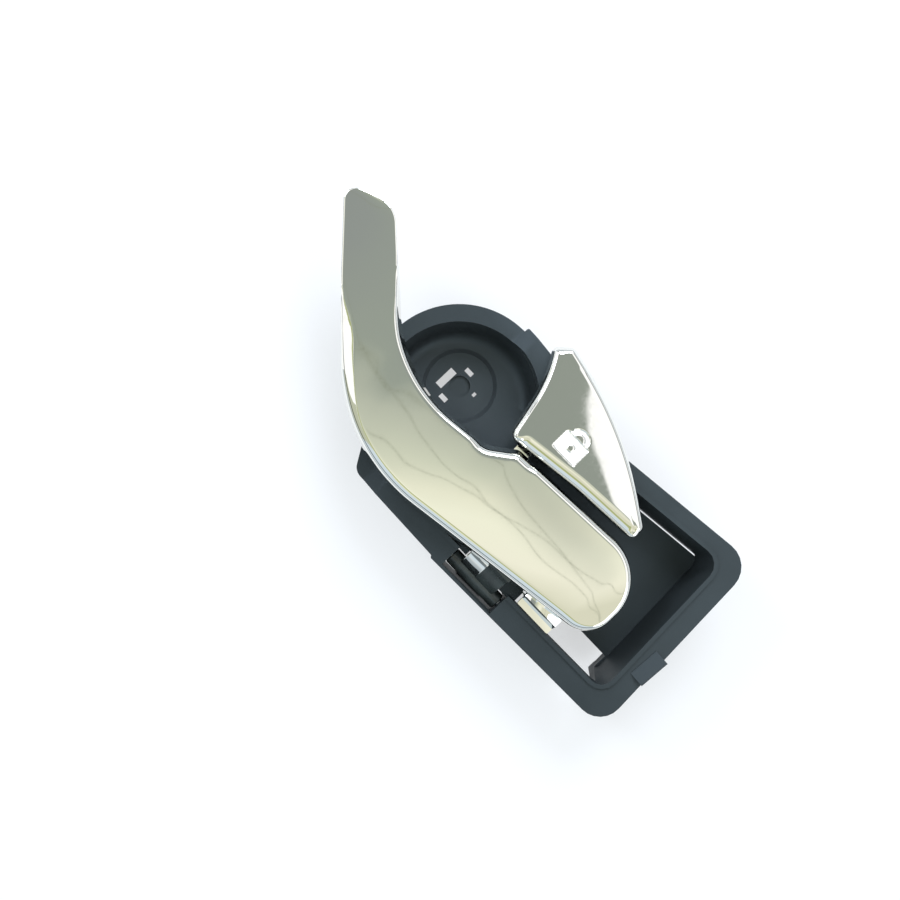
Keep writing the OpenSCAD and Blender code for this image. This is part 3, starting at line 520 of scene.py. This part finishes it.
lockLever = {
    "left": [[13.5, 28.9, 0], [11.2, 26.8, 2.1], [16.6, 18.3, 42], [20.8, -0.9, 2.8], [46, 2.6, 60],
             [67.5, 4.1, 2.2], [67.7, 6.6, 0]],
    "right": [[13.5, 28.9, 0], [15.9, 31.1, 2.1], [43, 25.6, 112], [67.9, 9.2, 2.4], [67.7, 6.6, 0]],
    "bend": [0.35, 0.395, 0.26], "count": 360, "bunch": 0.45, "across": 84, "wall": 1.9,
    "crown": 0.06, "crownFrom": [0.1, 0.5], "bevel": lockBevels,
    "edge": lambda along, plan, leftWay: (0.35, 1.7 - 0.6 * leftWay * smoothStep(along, 0.35, 0.39)),
    "faceZ": 36.6, "fall": 3.4, "fallY": 28, "lowZ": 29.2, "mark": padlockMark, "markDepth": 0.3,
    "hub": [21.4, 30.4, 2.6, 1.87], "bridge": [25.4, 30.4], "arm": [22.4, 25.4], "eyeY": -33.6, "eyeZ": 9.2,
    "eyeR": 3.2,
}
lockLever["top"] = lambda along, plan: lockLever["faceZ"] - lockLever["fall"] * np.clip(
    plan[..., 1] / lockLever["fallY"], 0, 1)
lockLever["low"] = lambda along: np.full_like(along, lockLever["lowZ"])


def buildLockLever(s):
    points, faces, etched = leverCap(s)
    py, pz = pivot["y"], pivot["z"]
    roofZ = s["faceZ"] - s["wall"] - 0.8
    bridge = alongX([[py + 0.6, pz - 2], [py + 4, 13.4], [4.6, 13.4], [7.4, 17], [7.4, roofZ], [2.6, roofZ],
                     [2.6, 17.6], [py + 6, 17.6], [py + 2, pz + 1.4]], *s["bridge"])
    ey, ez, er = s["eyeY"], s["eyeZ"], s["eyeR"]
    arm = alongX(arcPoints(ey, ez, er, 180, 360, 24) + [[ey + er, ez + 5], [py + 2.4, pz], [py - 2.2, pz]],
                 *s["arm"])
    hub = tubeOnPin(*s["hub"])
    allPoints, allFaces = together((points, faces), bridge, arm, hub)
    piece = newPiece("lockLeverChrome", allPoints, allFaces, "lock_body", "chrome_plating",
                     ["lock_lever"], 40)
    values = np.zeros(len(allPoints), np.float32)
    values[:len(etched)] = etched
    piece.data.attributes.new("etched", "FLOAT", "POINT").data.foreach_set("value", values)


buildLockLever(lockLever)
print("lock lever made")


# A merged copy of a CAD node, with its edges rounded as a mould leaves them
def softenedCopy(node, name, body, slot, width):
    mesh = frame["nodes"][node].data.copy()
    mesh.name = name
    work = bmesh.new()
    work.from_mesh(mesh)
    bmesh.ops.remove_doubles(work, verts=work.verts, dist=1e-6)
    bmesh.ops.dissolve_limit(work, angle_limit=math.radians(1), verts=work.verts, edges=work.edges)
    work.to_mesh(mesh)
    work.free()
    mesh.materials.clear()
    mesh.materials.append(finishes[slot])
    for old in [a.name for a in mesh.attributes if a.name in ("sharp_edge", "sharp_face", "custom_normal")]:
        mesh.attributes.remove(mesh.attributes[old])
    piece = bpy.data.objects.new(name, mesh)
    bpy.context.scene.collection.objects.link(piece)
    mesh.polygons.foreach_set("use_smooth", np.ones(len(mesh.polygons), bool))
    rounding = piece.modifiers.new("rounded edges", "BEVEL")
    rounding.width, rounding.segments, rounding.limit_method = width * mm, 2, "ANGLE"
    rounding.angle_limit = math.radians(35)
    rounding.harden_normals = True
    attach(piece, body)
    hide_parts(node)


softenedCopy("bezel", "bezelMoulding", "bezel_body", "bezel_plastic", 0.25)
for node, body in (("pull_rod_clip", "pull_clip_body"), ("lock_rod_clip", "lock_clip_body")):
    softenedCopy(node, node + "_moulding", body, "white_nylon", 0.15)
slots = {s["node"]: s["material_slot"] for s in frame["record"]["subparts"]}
for node, item in frame["nodes"].items():
    item.data.materials.clear()
    item.data.materials.append(finishes[slots[node]])
print("bezel and small parts made")


# The floor's side in metres and the share of lit paper in what the camera sees of it; the room's pattern by
# direction; each lamp's direction, size in metres, power and colour; and the camera that took the photograph
studio = {
    "floorSize": 3.0, "floorKeep": 0.42, "slant": -0.8, "ceilingHalf": 0.25,
    "oval": {"u": 0.095, "v": 0.052, "halfU": 0.13, "halfV": 0.095, "share": 0.46},
    "wires": [{"a": -0.033, "b": 0.36, "c": 0.006, "k": 75.0},
              {"a": -0.006, "b": -0.1, "c": 0.004, "k": 90.0},
              {"a": 0.058, "b": -0.36, "c": 0.003, "k": 60.0},
              {"a": 0.062, "b": 0.8, "c": 0.002, "k": 70.0}],
    "lampDistance": 1.2,
    "lamps": {"windowLight": [(-0.3, 0.62, 0.72), 0.6, 9.0, "#eef4ff"],
              "sideLight": [(-0.76, -0.06, 0.65), 0.4, 5.0, "#e8f1ff"],
              "fillLight": [(0.72, 0.05, 0.68), 0.9, 4.0, "#f4f8ff"]},
    "focalPixels": 1190, "framePixels": 900, "sensor": 36,
    "cameraRight": (0.6896, 0.7242, 0), "cameraUp": (-0.7242, 0.6896, 0),
    "cameraAt": (0.012307, -0.01578, 0.378),
}


def studioFloor(s):
    material, tree = newMaterial("white paper floor")
    ray = addNode(tree, "ShaderNodeLightPath").outputs
    seen = sums(tree, "MAXIMUM", sums(tree, "MAXIMUM", ray["Is Camera Ray"], ray["Is Glossy Ray"]),
                ray["Is Transmission Ray"])
    paper = addNode(tree, "ShaderNodeBsdfDiffuse", None, {"Color": (0.84, 0.87, 0.90, 1)})
    glow = addNode(tree, "ShaderNodeEmission", None, {"Color": (0.98, 0.99, 1.0, 1)})
    finishMaterial(tree, addNode(tree, "ShaderNodeMixShader", None,
                                 {0: sums(tree, "MULTIPLY", seen, 1 - s["floorKeep"]), 1: paper.outputs[0],
                                  2: glow.outputs[0]}))
    half = s["floorSize"] / 2
    mesh = bpy.data.meshes.new("paperFloor")
    corners = [(-half, -half, 0), (half, -half, 0), (half, half, 0), (-half, half, 0)]
    mesh.from_pydata(corners, [], [(0, 1, 2, 3)])
    floor = bpy.data.objects.new("paperFloor", mesh)
    mesh.materials.append(material)
    bpy.context.scene.collection.objects.link(floor)


# The room by direction: u and v are the parts along X and Y. A ceiling that goes from grey over the lever's
# tail to cream over the well, greyer towards +Y; white walls; towards -Y a thin olive line, then pale blue.
def studioWorld():
    world = bpy.data.worlds.new("studio")
    bpy.context.scene.world = world
    world.use_nodes = True
    tree = world.node_tree
    tree.nodes.clear()
    way = addNode(tree, "ShaderNodeTexCoord").outputs["Generated"]
    parts = addNode(tree, "ShaderNodeSeparateXYZ", None, {"Vector": way}).outputs
    u, v, up = parts["X"], parts["Y"], parts["Z"]

    def between(value, low, high):    # 0 at low, 1 at high, a soft S between
        return addNode(tree, "ShaderNodeMapRange", {"interpolation_type": "SMOOTHSTEP"},
                       {"Value": value, "From Min": low, "From Max": high}).outputs["Result"]

    def blend(share, a, b):
        node = addNode(tree, "ShaderNodeMix", {"data_type": "RGBA"}, {0: share, 6: a, 7: b})
        return node.outputs[2]

    def both(first, *others):
        for other in others:
            first = sums(tree, "MULTIPLY", first, other)
        return first

    slant = sums(tree, "MULTIPLY_ADD", v, studio["slant"], u)
    along = addNode(tree, "ShaderNodeMapRange", None, {"Value": slant, "From Min": -studio["ceilingHalf"],
                                                       "From Max": studio["ceilingHalf"]})
    ceiling = ramp(tree, along.outputs["Result"],
                   [(0, "#959b98"), (0.202, "#999f9c"), (0.328, "#a0a89e"), (0.38, "#c1c6b7"),
                    (0.498, "#dadeca"), (0.612, "#f6f6e0"), (0.7, "#ffffea"), (0.83, "#fffdea"),
                    (0.95, "#e6e5cf")])
    # a soft grey oval, which the face shows from its notch to the right of its round end
    oval = studio["oval"]
    sideways = sums(tree, "DIVIDE", sums(tree, "SUBTRACT", u, oval["u"]), oval["halfU"])
    upwards = sums(tree, "DIVIDE", sums(tree, "SUBTRACT", v, oval["v"]), oval["halfV"])
    away = sums(tree, "SQRT", sums(tree, "ADD", both(sideways, sideways), both(upwards, upwards)))
    ceiling = blend(both(between(away, 1.0, 0.0), oval["share"]), ceiling, linear("#9fa69c"))
    # thin wires under the ceiling, each a wavy line v = a + b u + c sin(k u)
    for wire in studio["wires"]:
        wave = both(sums(tree, "SINE", sums(tree, "MULTIPLY", u, wire["k"])), wire["c"])
        line = sums(tree, "ADD", sums(tree, "MULTIPLY_ADD", u, wire["b"], wire["a"]), wave)
        off = sums(tree, "ABSOLUTE", sums(tree, "SUBTRACT", v, line))
        ceiling = blend(both(between(off, 0.0024, 0.0006), 0.4), ceiling, linear("#8d927f"))
    ceiling = blend(between(v, 0.11, 0.24), ceiling, linear("#9aa199"))
    walls = ramp(tree, up, [(0.0, "#a9b4bd"), (0.18, "#bcc6cd"), (0.34, "#f2f6fa"), (0.55, "#ffffff")])
    bright = addNode(tree, "ShaderNodeVectorMath", {"operation": "SCALE"},
                     {0: walls, "Scale": sums(tree, "MULTIPLY_ADD", between(up, 0.3, 0.55), 0.22, 1.0)})
    walls = bright.outputs[0]
    south = both(between(v, -0.24, -0.25), between(up, 0.25, 0.35))
    walls = blend(south, walls, linear("#dceaf4"))
    # the part of the room that the bend's left edge shows: cream, between the white and the pale blue walls
    creamWall = both(south, sums(tree, "GREATER_THAN", u, sums(tree, "MULTIPLY", v, 0.9)),
                     sums(tree, "LESS_THAN", u, sums(tree, "MULTIPLY", v, 0.36)))
    walls = blend(creamWall, walls, linear("#c6cab4"))
    yellowStrip = both(between(v, -0.35, -0.33), sums(tree, "LESS_THAN", u, 0.115),
                       sums(tree, "GREATER_THAN", u, -0.03), south)
    walls = blend(yellowStrip, walls, linear("#eff0cc"))
    whiteCorner = both(between(v, 0.0, -0.02), sums(tree, "LESS_THAN", u, sums(tree, "MULTIPLY", v, 0.9)))
    walls = blend(whiteCorner, walls, (1.22, 1.22, 1.22, 1))
    reach = sums(tree, "SQRT", sums(tree, "ADD", sums(tree, "MULTIPLY", u, u), sums(tree, "MULTIPLY", v, v)))
    # white from a slanting edge on, as the lock lever's right part shows
    windowEdge = between(sums(tree, "ADD", v, sums(tree, "MULTIPLY", u, 0.8)), 0.391, 0.399)
    # the bright edge that the tail's left side shows, towards -X and -Y
    slanting = sums(tree, "ADD", sums(tree, "MULTIPLY", u, -0.72), sums(tree, "MULTIPLY", v, -0.69))
    inCeiling = both(between(reach, 0.58, 0.49), sums(tree, "GREATER_THAN", up, 0.0),
                     between(v, -0.25, -0.24), sums(tree, "SUBTRACT", 1.0, windowEdge),
                     between(slanting, 0.26, 0.25))
    colour = blend(inCeiling, walls, ceiling)
    olive = both(between(v, -0.16, -0.172), between(v, -0.238, -0.226), sums(tree, "GREATER_THAN", up, 0.2))
    colour = blend(olive, colour, linear("#b5bc88"))
    rim = both(between(up, 0.70, 0.66), between(up, 0.45, 0.5))
    colour = blend(both(rim, 0.85), colour, linear("#545d61"))
    addNode(tree, "ShaderNodeOutputWorld", None,
            {"Surface": addNode(tree, "ShaderNodeBackground", None, {"Color": colour}).outputs[0]})


def softLamp(name, way, size, power, colour):
    lamp = bpy.data.lights.new(name, "AREA")
    lamp.shape, lamp.size, lamp.energy, lamp.color = "DISK", size, power, linear(colour)[:3]
    item = bpy.data.objects.new(name, lamp)
    aim = Vector((0.02, -0.01, 0.02))
    item.location = aim + Vector(way).normalized() * studio["lampDistance"]
    item.rotation_euler = (aim - item.location).to_track_quat("-Z", "Y").to_euler()
    bpy.context.scene.collection.objects.link(item)


def photoCamera():
    camera = bpy.data.cameras.new("photoCamera")
    camera.sensor_width = studio["sensor"]
    camera.lens = studio["sensor"] * studio["focalPixels"] / studio["framePixels"]
    camera.clip_start, camera.clip_end = 0.01, 10
    item = bpy.data.objects.new("photoCamera", camera)
    right, up = Vector(studio["cameraRight"]), Vector(studio["cameraUp"])
    turn = Matrix((right, up, Vector((0, 0, 1)))).transposed().to_4x4()
    item.matrix_world = Matrix.Translation(studio["cameraAt"]) @ turn
    bpy.context.scene.collection.objects.link(item)
    bpy.context.scene.camera = item


studioFloor(studio)
studioWorld()
for name, lamp in studio["lamps"].items():
    softLamp(name, *lamp)
photoCamera()
bpy.context.scene.view_settings.view_transform = "Standard"
print("studio made")
